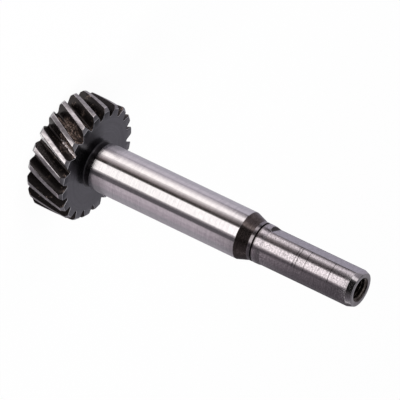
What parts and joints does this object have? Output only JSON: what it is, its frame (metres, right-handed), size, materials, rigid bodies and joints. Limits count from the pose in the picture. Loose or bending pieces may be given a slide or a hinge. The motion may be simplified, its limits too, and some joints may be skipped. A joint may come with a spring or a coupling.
{
  "type": "pinion gear",
  "caption": "Helical pinion turned in one piece with its ground steel shaft, with a stepped nose, a milled flat and a tapped end.",
  "frame": {"origin": "centre of the gear's rear face, on the axis of the shaft", "axes": "+Z along the shaft from the gear to the free end, -X square to the milled flat on the stub"},
  "size_m": [0.0494, 0.0494, 0.142],
  "materials": {
    "steel": "ground and turned"
  },
  "bodies": {
    "root": {"pinion_shaft": "steel"}
  },
  "joints": []
}
